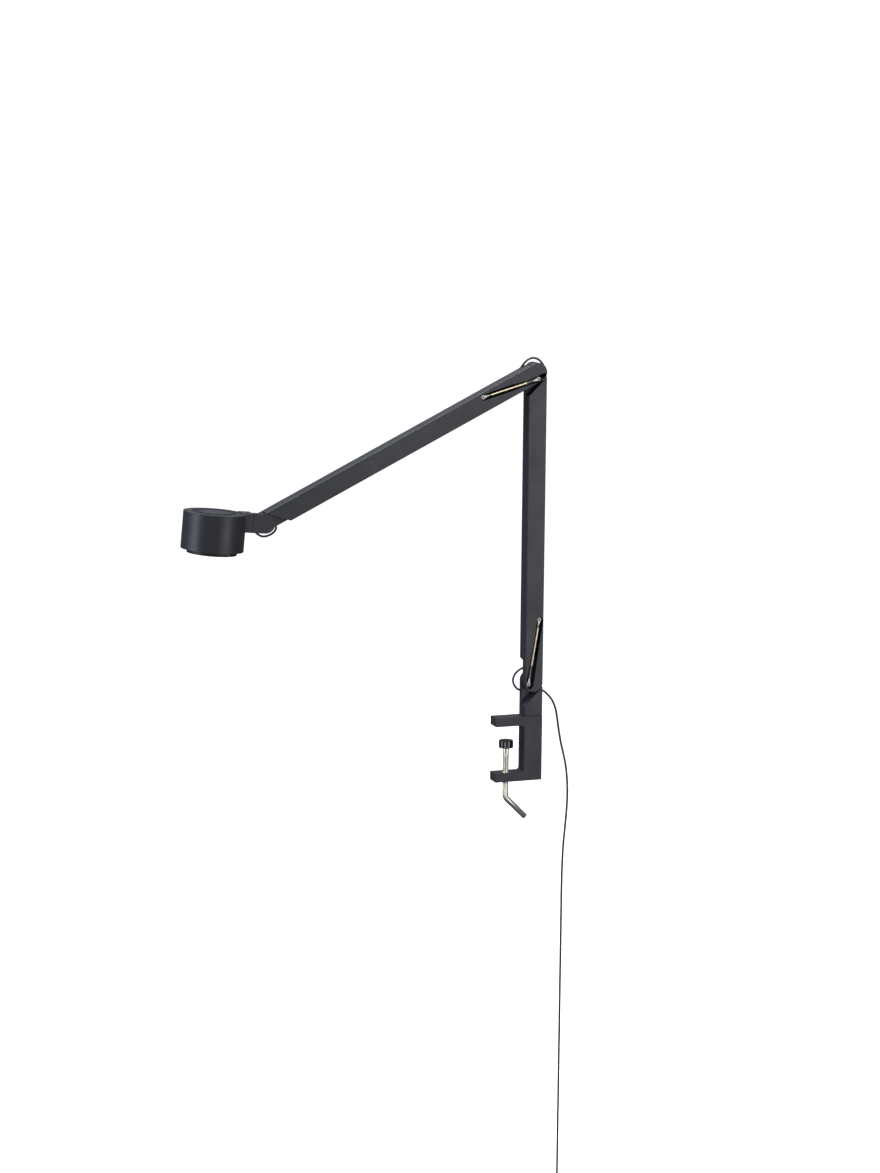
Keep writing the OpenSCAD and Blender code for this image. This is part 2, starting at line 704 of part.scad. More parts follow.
// Lead from the mouth of the neck tube down to the light board
module head_lead() {
  route = [[-34.4, 0], [-36.8, -0.5], [-38.8, -2], [-39.8, -4.6], [-40, -8], [-40, sink_z - 10]];
  cord_color() at_head() flat_sweep(route, cord_r, 0);
}
module reflector() {
  top = sink_z - 13;
  color("whitesmoke") at_head() translate([-head_reach, 0, top - 14]) rotate_extrude()
    polygon([[29, 0], [30.4, 0], [19.4, 14], [18, 14]]);
}
module retaining_ring() {
  color([0.1, 0.1, 0.1]) at_head() translate([-head_reach, 0, head_bottom + 1]) difference() {
    cylinder(r = head_d / 2 - wall, h = 2.4, $fn = 96);
    translate([0, 0, -1]) cylinder(r = ring_d / 2 + 0.3, h = 5);
  }
}
module dimmer_ring() {
  color([0.04, 0.04, 0.05]) at_head() translate([-head_reach, 0, head_bottom - ring_drop]) difference() {
    union() {
      cylinder(r = ring_d / 2, h = ring_h);
      translate([0, 0, ring_h - 0.1]) cylinder(r = ring_d / 2 + 2.4, h = 1.2);
    }
    translate([0, 0, -1]) cylinder(r = ring_d / 2 - 2.4, h = ring_h + 4);
    rotate([0, 0, -62]) translate([ring_d / 2 - 0.3, -0.4, 0.6]) cube([2, 0.8, 3.6]);
  }
}
module diffuser() {
  color([0.95, 0.95, 0.92]) at_head() translate([-head_reach, 0, head_bottom - ring_drop + 1.6])
    cylinder(r = ring_d / 2 - 2.4, h = 2);
}

clamp_frame();
thread_insert();
swivel_pin();
swivel_washer();
pressure_pad();
clamp_screw();
base_block();
block_grub_screw();
base_bush();
base_friction_washer();
cord_gland();
block_cord();
power_cord();
cord_coil();
coil_tie();
connector_lead();
power_connector();
base_cord_loop();
lower_arm_shell();
lower_arm_cover();
base_pivot_insert();
base_pivot_bolt();
lower_anchor_pin();
lower_arm_cord();
elbow_bush();
elbow_friction_washer();
lower_spring_tube();
lower_spring_eyelet();
lower_spring_rod();
lower_spring_rod_end();
lower_spring_pin();
elbow_cord_loop();
upper_arm_shell();
upper_arm_cover();
elbow_pivot_insert();
elbow_pivot_bolt();
upper_anchor_pin();
upper_arm_cord();
head_bush();
head_friction_washer();
upper_spring_tube();
upper_spring_eyelet();
upper_spring_rod();
upper_spring_rod_end();
upper_spring_pin();
head_cord_loop();
head_bracket();
head_pivot_insert();
head_pivot_bolt();
neck_tube();
neck_cord();
head_housing();
neck_nut();
heat_sink();
led_board();
head_lead();
reflector();
retaining_ring();
dimmer_ring();
diffuser();
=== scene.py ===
import json
import math

import bmesh
import bpy
from mathutils import Matrix, Vector


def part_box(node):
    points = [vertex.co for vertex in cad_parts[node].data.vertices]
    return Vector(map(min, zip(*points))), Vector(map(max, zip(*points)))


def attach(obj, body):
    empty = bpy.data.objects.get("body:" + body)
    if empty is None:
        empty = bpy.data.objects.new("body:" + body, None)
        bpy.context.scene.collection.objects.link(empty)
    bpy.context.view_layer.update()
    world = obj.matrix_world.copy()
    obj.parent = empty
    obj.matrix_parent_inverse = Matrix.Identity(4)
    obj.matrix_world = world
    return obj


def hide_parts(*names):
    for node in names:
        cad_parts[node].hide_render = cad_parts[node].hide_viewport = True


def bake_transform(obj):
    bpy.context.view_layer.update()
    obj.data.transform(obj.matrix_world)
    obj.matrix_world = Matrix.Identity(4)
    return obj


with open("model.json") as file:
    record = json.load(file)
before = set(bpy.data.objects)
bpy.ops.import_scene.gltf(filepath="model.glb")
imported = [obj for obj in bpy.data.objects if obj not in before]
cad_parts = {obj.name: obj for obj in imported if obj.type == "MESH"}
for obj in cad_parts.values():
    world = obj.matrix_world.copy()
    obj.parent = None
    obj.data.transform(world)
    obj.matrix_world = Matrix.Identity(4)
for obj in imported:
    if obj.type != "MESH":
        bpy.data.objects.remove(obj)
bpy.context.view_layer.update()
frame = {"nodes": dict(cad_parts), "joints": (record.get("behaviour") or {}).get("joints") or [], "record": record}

MM = 0.001
scene = bpy.context.scene
nodes = frame["nodes"]
record = frame["record"]
slot_of = {s["node"]: s["material_slot"] for s in record["subparts"]}


def joint_named(name):
    return next(joint for joint in frame["joints"] if joint["name"] == name)


def joint_place(name):
    """Where a joint's axis passes, in metres."""
    return Vector(joint_named(name)["pos_m"])


# ---- camera ----------------------------------------------------------------------------

# The camera's place in metres, and its turn from +Y towards +X, its tilt down and its roll
CAMERA_AT = Vector((-1.3972, -3.7388, 0.8765))
CAMERA_AZIMUTH = math.radians(19.148)
CAMERA_DROP = math.radians(9.707)
CAMERA_ROLL = math.radians(0.495)
SENSOR = 36.0
LENS = 120.32


def make_camera():
    data = bpy.data.cameras.new("camera")
    data.sensor_fit = "HORIZONTAL"
    data.sensor_width = SENSOR
    data.lens = LENS
    data.clip_start = 0.05
    data.clip_end = 60.0
    ahead = Vector((
        math.sin(CAMERA_AZIMUTH) * math.cos(CAMERA_DROP),
        math.cos(CAMERA_AZIMUTH) * math.cos(CAMERA_DROP),
        -math.sin(CAMERA_DROP),
    ))
    level = ahead.cross(Vector((0, 0, 1))).normalized()
    up = level.cross(ahead)
    right = level * math.cos(CAMERA_ROLL) + up * math.sin(CAMERA_ROLL)
    top = up * math.cos(CAMERA_ROLL) - level * math.sin(CAMERA_ROLL)
    turn = Matrix((right, top, -ahead)).transposed().to_4x4()
    camera = bpy.data.objects.new("camera", data)
    camera.matrix_world = Matrix.Translation(CAMERA_AT) @ turn
    scene.collection.objects.link(camera)
    scene.camera = camera


make_camera()

# ---- shader helpers --------------------------------------------------------------------

# The part of a noise texture's range that roughness runs over, and that colour runs over
ROUGHNESS_SPAN = (0.3, 0.7)
COLOUR_SPAN = (0.32, 0.68)


class Shader:
    """A node material with one Principled shader, built up by its methods."""

    def __init__(self, name, colour, roughness, **sockets):
        self.material = bpy.data.materials.new(name)
        self.material.use_nodes = True
        self.tree = self.material.node_tree
        self.tree.nodes.clear()
        out = self.tree.nodes.new("ShaderNodeOutputMaterial")
        self.bsdf = self.tree.nodes.new("ShaderNodeBsdfPrincipled")
        self.link(self.bsdf.outputs["BSDF"], out.inputs["Surface"])
        self.bsdf.inputs["Base Color"].default_value = (*colour, 1)
        self.bsdf.inputs["Roughness"].default_value = roughness
        for socket, value in sockets.items():
            self.bsdf.inputs[socket.replace("_", " ")].default_value = value
        self.colour = colour
        self.place = self.tree.nodes.new("ShaderNodeTexCoord").outputs["Object"]
        self.last_bump = None

    def link(self, a, b):
        self.tree.links.new(a, b)

    def stretched(self, scale):
        """Object coordinates scaled by a different amount along each axis."""
        mapping = self.tree.nodes.new("ShaderNodeMapping")
        mapping.inputs["Scale"].default_value = scale
        self.link(self.place, mapping.inputs["Vector"])
        return mapping.outputs["Vector"]

    def noise(self, scale, detail=2.0, rough=0.5, where=None):
        texture = self.tree.nodes.new("ShaderNodeTexNoise")
        texture.inputs["Scale"].default_value = scale
        texture.inputs["Detail"].default_value = detail
        texture.inputs["Roughness"].default_value = rough
        self.link(where or self.place, texture.inputs["Vector"])
        return texture.outputs["Fac"]

    def mottle(self, value, low, high):
        """Base colour that runs from low to high times the plain colour."""
        ramp = self.tree.nodes.new("ShaderNodeValToRGB")
        ramp.color_ramp.elements[0].position = COLOUR_SPAN[0]
        ramp.color_ramp.elements[1].position = COLOUR_SPAN[1]
        ramp.color_ramp.elements[0].color = (*[c * low for c in self.colour], 1)
        ramp.color_ramp.elements[1].color = (*[min(1, c * high) for c in self.colour], 1)
        self.link(value, ramp.inputs["Fac"])
        self.link(ramp.outputs["Color"], self.bsdf.inputs["Base Color"])

    def gloss(self, value, low, high):
        """Roughness that runs from low to high."""
        remap = self.tree.nodes.new("ShaderNodeMapRange")
        remap.inputs["From Min"].default_value = ROUGHNESS_SPAN[0]
        remap.inputs["From Max"].default_value = ROUGHNESS_SPAN[1]
        remap.inputs["To Min"].default_value = low
        remap.inputs["To Max"].default_value = high
        self.link(value, remap.inputs["Value"])
        self.link(remap.outputs["Result"], self.bsdf.inputs["Roughness"])

    def bump(self, value, depth, strength):
        """Adds relief, depth in metres, on top of any that is there."""
        node = self.tree.nodes.new("ShaderNodeBump")
        node.inputs["Distance"].default_value = depth
        node.inputs["Strength"].default_value = strength
        self.link(value, node.inputs["Height"])
        if self.last_bump:
            self.link(self.last_bump, node.inputs["Normal"])
        self.last_bump = node.outputs["Normal"]
        self.link(self.last_bump, self.bsdf.inputs["Normal"])


# ---- materials -------------------------------------------------------------------------


def moulded(name, colour, roughness):
    """Fine spark-eroded grain, with faint flow marks and handling sheen."""
    s = Shader(name, colour, roughness, IOR=1.48)
    s.mottle(s.noise(scale=9, detail=3), low=0.93, high=1.08)
    handling = s.noise(scale=34, detail=4, rough=0.6)
    s.gloss(handling, low=roughness - 0.04, high=roughness + 0.05)
    s.bump(s.noise(scale=5200), depth=0.03 * MM, strength=0.55)
    s.bump(s.noise(scale=900, detail=3), depth=0.02 * MM, strength=0.35)
    return s.material


def coated(name, colour, roughness):
    """Powder coat on a die casting: a soft orange peel under fine speckle."""
    s = Shader(name, colour, roughness, IOR=1.5)
    s.mottle(s.noise(scale=22, detail=4), low=0.92, high=1.09)
    handling = s.noise(scale=60, detail=4, rough=0.6)
    s.gloss(handling, low=roughness - 0.05, high=roughness + 0.05)
    s.bump(s.noise(scale=700), depth=0.06 * MM, strength=0.4)
    s.bump(s.noise(scale=4200), depth=0.03 * MM, strength=0.5)
    return s.material


def glossy(name, colour, roughness):
    """Polished moulding with faint handling marks."""
    s = Shader(name, colour, roughness, IOR=1.5, Coat_Weight=0.3, Coat_Roughness=0.12)
    s.mottle(s.noise(scale=30, detail=3), low=0.9, high=1.1)
    handling = s.noise(scale=160, detail=5, rough=0.65)
    s.gloss(handling, low=roughness - 0.05, high=roughness + 0.09)
    s.bump(s.noise(scale=450), depth=0.01 * MM, strength=0.3)
    return s.material


def polished(name, colour, roughness):
    """Nickel plate, drawn lengthways, with fine hairlines and dull patches."""
    s = Shader(name, colour, roughness, Metallic=1.0)
    s.mottle(s.noise(scale=60, detail=4), low=0.9, high=1.06)
    hair = s.noise(scale=1, detail=3, rough=0.6, where=s.stretched((4200, 4200, 90)))
    s.gloss(hair, low=roughness - 0.05, high=roughness + 0.1)
    s.bump(hair, depth=0.012 * MM, strength=0.5)
    return s.material


def turned(name, colour, roughness):
    """Turned metal with fine tool marks across and small tone changes."""
    s = Shader(name, colour, roughness, Metallic=1.0)
    s.mottle(s.noise(scale=120, detail=4), low=0.88, high=1.08)
    marks = s.noise(scale=1, where=s.stretched((300, 300, 6000)))
    s.gloss(marks, low=roughness - 0.06, high=roughness + 0.1)
    s.bump(marks, depth=0.01 * MM, strength=0.4)
    return s.material


def jacket(name, colour, roughness):
    """Extruded cord jacket, with a slight waver and dust-soft sheen."""
    s = Shader(name, colour, roughness, IOR=1.5, Sheen_Weight=0.12, Sheen_Roughness=0.5)
    s.mottle(s.noise(scale=70, detail=3), low=0.85, high=1.15)
    s.gloss(s.noise(scale=240, detail=3), low=roughness - 0.08, high=roughness + 0.08)
    s.bump(s.noise(scale=900), depth=0.04 * MM, strength=0.4)
    return s.material


def milky(name, colour):
    """Opal sheet that spreads the light behind it."""
    s = Shader(name, colour, 0.35, Subsurface_Weight=0.6, Subsurface_Scale=3 * MM)
    s.gloss(s.noise(scale=400, detail=3), low=0.3, high=0.42)
    s.bump(s.noise(scale=3000), depth=0.02 * MM, strength=0.4)
    return s.material


def cast(name, colour):
    """Bare die-cast aluminium."""
    s = Shader(name, colour, 0.42, Metallic=1.0)
    s.mottle(s.noise(scale=90, detail=5), low=0.82, high=1.08)
    s.gloss(s.noise(scale=300, detail=4), low=0.34, high=0.52)
    s.bump(s.noise(scale=1600, detail=3), depth=0.05 * MM, strength=0.6)
    return s.material


materials = {
    "body_plastic": moulded("body_plastic", (0.026, 0.028, 0.036), 0.43),
    "cover_plastic": moulded("cover_plastic", (0.024, 0.026, 0.033), 0.48),
    "clamp_coating": coated("clamp_coating", (0.026, 0.028, 0.035), 0.46),
    "pad_cap": glossy("pad_cap", (0.008, 0.008, 0.010), 0.12),
    "nickel": polished("nickel", (0.80, 0.74, 0.63), 0.30),
    "steel": turned("steel", (0.38, 0.37, 0.35), 0.38),
    "black_steel": coated("black_steel", (0.03, 0.03, 0.032), 0.4),
    "brass": turned("brass", (0.78, 0.60, 0.32), 0.3),
    "tube_finish": turned("tube_finish", (0.84, 0.70, 0.50), 0.34),
    "bearing_plastic": moulded("bearing_plastic", (0.12, 0.12, 0.12), 0.4),
    "friction_disc": coated("friction_disc", (0.035, 0.035, 0.037), 0.7),
    "cord_jacket": jacket("cord_jacket", (0.028, 0.029, 0.032), 0.45),
    "grommet": jacket("grommet", (0.02, 0.02, 0.022), 0.6),
    "sink": cast("sink", (0.70, 0.70, 0.71)),
    "board": glossy("board", (0.84, 0.86, 0.83), 0.4),
    "reflector_white": glossy("reflector_white", (0.9, 0.9, 0.9), 0.35),
    "ring_black": moulded("ring_black", (0.009, 0.009, 0.011), 0.5),
    "opal": milky("opal", (0.92, 0.92, 0.88)),
}

# ---- mesh helpers ----------------------------------------------------------------------

# Edges that turn by less than this are shaded smooth
SMOOTH_BELOW = math.radians(35)


def piece(name, mesh, body, slot, *stands_for):
    """Adds a mesh as a piece of the lamp that rides on a body."""
    obj = bpy.data.objects.new(name, mesh)
    scene.collection.objects.link(obj)
    mesh.materials.clear()
    mesh.materials.append(materials[slot])
    if stands_for:
        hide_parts(*stands_for)
    if body:
        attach(obj, body)
    return obj


def from_bmesh(name, bm, smooth_below=SMOOTH_BELOW):
    """Turns a bmesh into a mesh that is smooth except at its corners."""
    bmesh.ops.recalc_face_normals(bm, faces=bm.faces)
    for face in bm.faces:
        face.smooth = True
    for edge in bm.edges:
        if len(edge.link_faces) == 2 and edge.calc_face_angle() > smooth_below:
            edge.smooth = False
    mesh = bpy.data.meshes.new(name)
    bm.to_mesh(mesh)
    bm.free()
    return mesh


def spline_point(a, b, c, d, t):
    """The point a share t of the way from b to c, on the curve through a, b, c and d."""
    return 0.5 * (
        2 * b + (c - a) * t + (2 * a - 5 * b + 4 * c - d) * t * t + (3 * b - a - 3 * c + d) * t ** 3
    )


def smooth(points, steps):
    """A Catmull-Rom curve through points, with steps points on each stretch."""
    p = [Vector(q) for q in points]
    last = len(p) - 1
    curve = [
        spline_point(p[max(i - 1, 0)], p[i], p[i + 1], p[min(i + 2, last)], k / steps)
        for i in range(last)
        for k in range(steps)
    ]
    return curve + [p[last]]


def add_ring(bm, at, side, up, radii):
    """Vertices round at, in the plane of side and up, with a radius for each."""
    ring = []
    for k, radius in enumerate(radii):
        a = 2 * math.pi * k / len(radii)
        ring.append(bm.verts.new(at + side * (radius * math.cos(a)) + up * (radius * math.sin(a))))
    return ring


def bridge(bm, rings):
    """Joins each ring of vertices to the next with a band of faces."""
    for low, high in zip(rings, rings[1:]):
        for k in range(len(low)):
            n = (k + 1) % len(low)
            bm.faces.new((low[k], low[n], high[n], high[k]))


def close_ends(bm, rings):
    bm.faces.new(rings[0])
    bm.faces.new(rings[-1])


def swept(points, radius, sides):
    """A closed tube along points that lie in a plane across the Y axis."""
    bm = bmesh.new()
    rings = []
    for i, at in enumerate(points):
        ahead = (points[min(i + 1, len(points) - 1)] - points[max(i - 1, 0)]).normalized()
        side = ahead.cross(Vector((0, 1, 0))).normalized()
        rings.append(add_ring(bm, at, side, side.cross(ahead), [radius] * sides))
    bridge(bm, rings)
    close_ends(bm, rings)
    return bm


# ---- cords -----------------------------------------------------------------------------

CORD_R = 1.5 * MM
CORD_Y = 7 * MM
CORD_BEVEL_STEPS = 3
GLAND = Vector((49 * MM, CORD_Y, 46.5 * MM))
CORD_ROUTE = [
    (0, 0), (4, -0.8), (8, -2.9), (12, -6), (16, -10), (20, -15), (23.5, -21), (27, -30.5),
    (29.5, -43.5), (31.5, -56.5), (35.5, -78.5), (40.5, -98.5), (44.5, -119.5), (46.5, -146.5),
    (46, -172.5), (43.5, -204.5), (41.5, -228.5), (40.5, -252.5), (40, -286.5), (40, -346.5),
    (40, -426.5), (40, -506.5), (40, -586.5), (40, -666.5),
]
BASE_LOOP = [
    (-13, -13.5), (-15.5, -12.7), (-18.8, -10.4), (-21.6, -7), (-23.6, -2.6), (-24.2, 1.6),
    (-23.4, 5.8), (-21.2, 9.8), (-18.2, 13), (-14, 15.9), (-9.4, 18.2), (-6, 19.9), (-2.8, 22.3),
]
ELBOW_LOOP = [
    (13, -13.5), (15, -12.6), (16.6, -9.6), (17, -5), (16.5, 1), (14.6, 7.2), (10.8, 12.6),
    (6, 16.6), (-1, 18.5), (-7.4, 16.8), (-12.2, 13.2), (-15.6, 9.3), (-19.7, 3.6),
]
HEAD_LOOP = [
    (17.8, -5.6), (19.3, -8.4), (17.3, -12.9), (12.9, -16.5), (7.7, -18.7), (2.1, -19.5),
    (-2.9, -18.3), (-7.5, -15.1), (-10.9, -10.9), (-13.9, -6.5), (-18.3, -2.4),
]

# Curve points on each stretch of a route, of the lead to the connector and of a loop
ROUTE_STEPS = 3
LEAD_OUT_STEPS = 4
LOOP_STEPS = 6
LOOP_SIDES = 20

# The wound end: a square bundle of turns, each just over a cord's width from the next
COIL_SIDE = 4
COIL_PITCH = 3.08 * MM
TURN_STEPS = 32
# The last share of each turn, in which it steps over to the next one's place
STEP_OVER = 0.25
# The bend between the hanging cord and its first turn
ENTRY_BEND = 7 * MM
LEAD_IN_STEPS = 8

# How deep the lead ends inside the connector, and the shares of its drop that are upright
LEAD_DEPTH = 1 * MM
UPRIGHT_AT_COIL = 0.25
UPRIGHT_AT_CONNECTOR = 0.22

# The strap: how far its middle lies inside its CAD solid, its thickness and its corners
TIE_INSET = 0.35 * MM
TIE_HALF_THICK = 0.3 * MM
TIE_CORNER = 2.2 * MM
TIE_CORNER_STEPS = 6
TIE_EDGE = 0.15 * MM


def placed(route, origin):
    """Route points in millimetres from origin, as points in metres in the cord's plane."""
    return [Vector((origin[0] + x * MM, CORD_Y, origin[2] + z * MM)) for x, z in route]


def coil_cells():
    """(radial, sideways) step of each turn from the middle of the bundle, in winding order."""
    middle = (COIL_SIDE - 1) / 2
    cells = []
    for column in range(COIL_SIDE):
        rows = range(COIL_SIDE)
        if column % 2 == 0:
            rows = reversed(rows)
        cells += [((row - middle) * COIL_PITCH, (column - middle) * COIL_PITCH) for row in rows]
    return cells


def entry_angle(first_radius):
    """How far the entry bend turns before it meets a first turn of this radius."""
    return math.acos(ENTRY_BEND / (ENTRY_BEND + first_radius))


def coil_points(centre, mean_radius):
    """Turns from the top of the coil, clockwise seen from the front, out through its right side."""
    cells = coil_cells()
    start = math.pi / 2 - entry_angle(mean_radius + cells[0][0])
    end = 2 * math.pi * (len(cells) - 1) + math.pi / 2
    steps = round(TURN_STEPS * (end - start) / (2 * math.pi))
    points = []
    for i in range(steps + 1):
        angle = start + (end - start) * i / steps
        turn = min(int(angle / (2 * math.pi)), len(cells) - 1)
        share = angle / (2 * math.pi) - turn
        step = max(0.0, (share - (1 - STEP_OVER)) / STEP_OVER)
        ease = step * step * (3 - 2 * step)
        here = cells[turn]
        there = cells[min(turn + 1, len(cells) - 1)]
        r = mean_radius + here[0] + (there[0] - here[0]) * ease
        y = here[1] + (there[1] - here[1]) * ease
        points.append(centre + Vector((r * math.sin(angle), y, r * math.cos(angle))))
    return points


def lead_in_points(centre, first_radius, first):
    """From straight down, round a short bend onto the first point of the first turn."""
    bend = entry_angle(first_radius)
    bend_x = centre.x + ENTRY_BEND
    bend_z = first.z + ENTRY_BEND * math.sin(bend)
    points = []
    for k in range(LEAD_IN_STEPS):
        a = bend * k / LEAD_IN_STEPS
        y = CORD_Y + (first.y - CORD_Y) * (k / LEAD_IN_STEPS) ** 2
        points.append(Vector((bend_x - ENTRY_BEND * math.cos(a), y, bend_z - ENTRY_BEND * math.sin(a))))
    return points


def lead_out_points(last):
    """From the coil's last point down into the top of the connector."""
    low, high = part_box("power_connector")
    end = Vector(((low[0] + high[0]) / 2, CORD_Y, high[2] - LEAD_DEPTH))
    drop = last.z - end.z
    route = [
        last,
        last + Vector((0, 0, -UPRIGHT_AT_COIL * drop)),
        last.lerp(end, 0.5),
        end + Vector((0, 0, UPRIGHT_AT_CONNECTOR * drop)),
        end,
    ]
    return smooth(route, LEAD_OUT_STEPS)[1:]


def power_cord_points():
    low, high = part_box("cord_coil")
    centre = (Vector(low) + Vector(high)) / 2
    mean_radius = (high[0] - low[0]) / 2 - (high[1] - low[1]) / 2
    turns = coil_points(centre, mean_radius)
    hanging = smooth(placed(CORD_ROUTE, GLAND), ROUTE_STEPS)
    lead_in = lead_in_points(centre, mean_radius + coil_cells()[0][0], turns[0])
    return hanging + lead_in + turns + lead_out_points(turns[-1])


def make_power_cord():
    """The free cord in one run: hanging, wound up, and on to its connector."""
    points = power_cord_points()
    curve = bpy.data.curves.new("power_cord_run", "CURVE")
    curve.dimensions = "3D"
    curve.bevel_depth = CORD_R
    curve.bevel_resolution = CORD_BEVEL_STEPS
    curve.use_fill_caps = True
    spline = curve.splines.new("POLY")
    spline.points.add(len(points) - 1)
    for target, at in zip(spline.points, points):
        target.co = (*at, 1)
    spline.use_smooth = True
    obj = bpy.data.objects.new("power_cord_run", curve)
    scene.collection.objects.link(obj)
    curve.materials.append(materials["cord_jacket"])
    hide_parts("power_cord", "cord_coil", "connector_lead")
    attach(obj, "block")
    return obj


def tie_outline(half):
    """A square with round corners, half its width to each side."""
    outline = []
    for quarter in range(4):
        for k in range(TIE_CORNER_STEPS + 1):
            a = math.pi / 2 * (quarter + k / TIE_CORNER_STEPS)
            x = (half - TIE_CORNER) * (1 if quarter in (0, 3) else -1)
            y = (half - TIE_CORNER) * (1 if quarter in (0, 1) else -1)
            outline.append((x + TIE_CORNER * math.cos(a), y + TIE_CORNER * math.sin(a)))
    return outline


def make_coil_tie():
    """A soft strap round the bundle of turns."""
    low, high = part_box("coil_tie")
    centre = (Vector(low) + Vector(high)) / 2
    half = (high[0] - low[0]) / 2 - TIE_INSET
    tall = (high[2] - low[2]) / 2
    outline = tie_outline(half)
    bm = bmesh.new()
    rings = []
    for outward, upward in ((1, -1), (1, 1), (-1, 1), (-1, -1)):
        grow = 1 + outward * TIE_HALF_THICK / half
        rings.append([
            bm.verts.new(centre + Vector((x * grow, y * grow, upward * tall))) for x, y in outline
        ])
    bridge(bm, rings + rings[:1])
    obj = piece("coil_strap", from_bmesh("coil_strap", bm), "block", "grommet", "coil_tie")
    bevel = obj.modifiers.new("soft_edge", "BEVEL")
    bevel.width = TIE_EDGE
    bevel.segments = 2
    return obj


def make_loop(name, route, joint):
    """The cord across a hinge."""
    points = smooth(placed(route, joint_place(joint)), LOOP_STEPS)
    mesh = from_bmesh(name, swept(points, CORD_R, LOOP_SIDES))
    obj = piece(name, mesh, None, "cord_jacket", name.replace("_run", "_loop"))
    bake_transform(obj)


power_cord = make_power_cord()
coil_tie = make_coil_tie()
make_loop("base_cord_run", BASE_LOOP, "base_tilt")
make_loop("elbow_cord_run", ELBOW_LOOP, "elbow_lift")
make_loop("head_cord_run", HEAD_LOOP, "head_pitch")

# ---- clamp screw -----------------------------------------------------------------------

SCREW_R = 4 * MM
SCREW_SIDES = 40
TIP_CHAMFER = 0.6 * MM
THREAD_DEPTH = 0.3 * MM
THREAD_PITCH = 1.25 * MM
THREAD_TOP = -44 * MM
THREAD_LOW = -84 * MM
THREAD_RUN_OUT = 2 * MM
RINGS_PER_PITCH = 6
BEND_ANGLE = math.radians(45)
BEND_R = 10 * MM
BEND_Z = -99.2 * MM
BEND_STEPS = 12
LEG = 37.5 * MM
SCREW_SMOOTH_BELOW = math.radians(50)


def threaded_radii(z):
    """The bar's radius all round at height z, in a groove that winds down it and fades out."""
    fade = max(0, min(1, (THREAD_TOP - z) / THREAD_RUN_OUT, (z - THREAD_LOW) / THREAD_RUN_OUT))
    phases = [(z / THREAD_PITCH + k / SCREW_SIDES) % 1 for k in range(SCREW_SIDES)]
    return [SCREW_R - THREAD_DEPTH * fade * abs(2 * phase - 1) for phase in phases]


def make_clamp_screw():
    """A bar threaded over the middle of its straight length and bent into its own lever."""
    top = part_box("clamp_screw")[1][2]
    full = [SCREW_R] * SCREW_SIDES
    tip = [SCREW_R - TIP_CHAMFER] * SCREW_SIDES
    along_x = Vector((1, 0, 0))
    sections = [(Vector((0, 0, top)), along_x, tip), (Vector((0, 0, top - TIP_CHAMFER)), along_x, full)]
    steps = round((THREAD_TOP - THREAD_LOW) / THREAD_PITCH * RINGS_PER_PITCH)
    for i in range(steps + 1):
        z = THREAD_TOP + (THREAD_LOW - THREAD_TOP) * i / steps
        sections.append((Vector((0, 0, z)), along_x, threaded_radii(z)))
    for i in range(BEND_STEPS + 1):
        a = BEND_ANGLE * i / BEND_STEPS
        at = Vector((BEND_R * (1 - math.cos(a)), 0, BEND_Z - BEND_R * math.sin(a)))
        side = Vector((math.cos(a), 0, math.sin(a)))
        sections.append((at, side, full))
    along_leg = Vector((math.sin(BEND_ANGLE), 0, -math.cos(BEND_ANGLE)))
    sections.append((at + along_leg * (LEG - TIP_CHAMFER), side, full))
    sections.append((at + along_leg * LEG, side, tip))
    bm = bmesh.new()
    rings = [add_ring(bm, at, side, Vector((0, 1, 0)), radii) for at, side, radii in sections]
    bridge(bm, rings)
    close_ends(bm, rings)
    mesh = from_bmesh("clamp_lever_screw", bm, SCREW_SMOOTH_BELOW)
    piece("clamp_lever_screw", mesh, "screw", "nickel", "clamp_screw")


make_clamp_screw()

# ---- dimmer rib, its pale colour a painted highlight -----------------------------------

# The mark's place round the ring, and its size through, along and across the ring's side
MARK_ANGLE = math.radians(-62)
MARK_SIZE = Vector((0.4, 0.7, 3.2)) * MM
MARK_ABOVE_RIM = 2.4 * MM
MARK_SUNK = 0.05 * MM
# The ring's largest radius is looked for this far up from its lower rim
RIM_BAND = 1 * MM


def make_dimmer_rib_painted_highlight():
    """A small strip in the groove of the dimmer ring, which shows how far it is turned; its pale colour is a
    painted highlight.
    """
    joint = joint_named("dimmer_turn")
    axis = Vector(joint["axis"])
    origin = Vector(joint["pos_m"])
    offsets = [v.co - origin for v in nodes["dimmer_ring"].data.vertices]
    rim = min(axis.dot(offset) for offset in offsets)
    radius = max(
        (offset - axis * axis.dot(offset)).length
        for offset in offsets if axis.dot(offset) < rim + RIM_BAND
    )
    turn = Matrix.Rotation(math.atan2(axis.x, axis.z), 4, "Y") @ Matrix.Rotation(MARK_ANGLE, 4, "Z")
    place = Matrix.Translation(origin) @ turn
    centre = Vector((radius - MARK_SIZE.x / 2 - MARK_SUNK, 0, rim + MARK_ABOVE_RIM))
    bm = bmesh.new()
    bmesh.ops.create_cube(bm, size=1)
    for vert in bm.verts:
        vert.co = place @ (centre + vert.co * MARK_SIZE)
    # The strip's pale opal colour is a painted highlight.
    piece("dimmer_rib_painted_highlight", from_bmesh("dimmer_rib_painted_highlight", bm), "dimmer", "opal")


make_dimmer_rib_painted_highlight()

# ---- CAD nodes: softened edges and materials -------------------------------------------

# Edges that turn by more than this are real corners
CORNER_ANGLE = math.radians(32)
JOIN_DISTANCE = 1e-6


